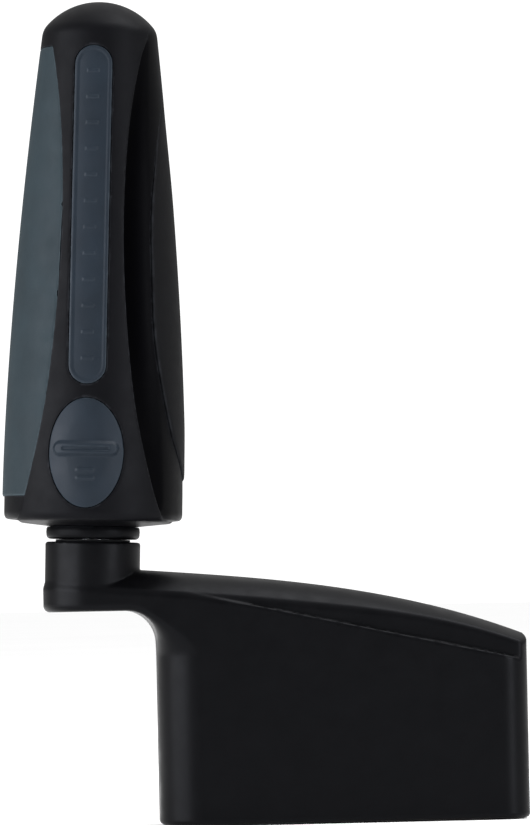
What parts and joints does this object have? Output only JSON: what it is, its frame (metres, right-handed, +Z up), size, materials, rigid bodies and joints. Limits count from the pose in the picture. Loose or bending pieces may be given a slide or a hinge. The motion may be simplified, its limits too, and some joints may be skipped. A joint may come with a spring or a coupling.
{
  "type": "string winder",
  "caption": "Hand crank with a freely swivelling soft grip and an open-bottomed socket that slips over a tuning key to wind a string.",
  "frame": {"origin": "middle of the bounding box, in the plane of the socket's rim", "axes": "+Z up, from the open end of the socket towards the grip, +X along the crank from the grip to the socket, +Y across the socket"},
  "size_m": [0.0796, 0.029, 0.1261],
  "materials": {
    "crank_black": "fine satin moulded black",
    "spindle_steel": "turned and polished",
    "washer_black": "smooth black nylon",
    "fastener_zinc": "bright zinc plated",
    "grip_black": "satin black with a fine grain",
    "core_black": "as moulded",
    "bush_black": "smooth acetal",
    "bush_white": "smooth natural acetal",
    "pad_blue_grey": "soft-touch, fine matt grain",
    "pad_black": "soft-touch, fine matt grain",
    "inlay_blue_grey": "soft-touch with a raised rim"
  },
  "bodies": {
    "crank": {"crank_body": "crank_black", "spindle": "spindle_steel", "thrust_washer": "washer_black", "retaining_washer": "fastener_zinc", "retaining_screw": "fastener_zinc"},
    "grip": {"front_shell": "grip_black", "rear_shell": "grip_black", "core_sleeve": "core_black", "lower_bush": "bush_black", "upper_bush": "bush_white", "left_pad": "pad_blue_grey", "right_pad": "pad_black", "front_strip": "inlay_blue_grey", "rear_strip": "inlay_blue_grey", "front_badge": "inlay_blue_grey", "rear_badge": "inlay_blue_grey", "front_upper_screw": "fastener_zinc", "front_lower_screw": "fastener_zinc", "rear_upper_screw": "fastener_zinc", "rear_lower_screw": "fastener_zinc"}
  },
  "joints": [
    {"name": "grip_swivel", "type": "hinge", "parent": "crank", "child": "grip", "pos_m": [-0.02644, 0, 0.0327], "axis": [0.0332, 0, 0.9995], "continuous": true}
  ]
}
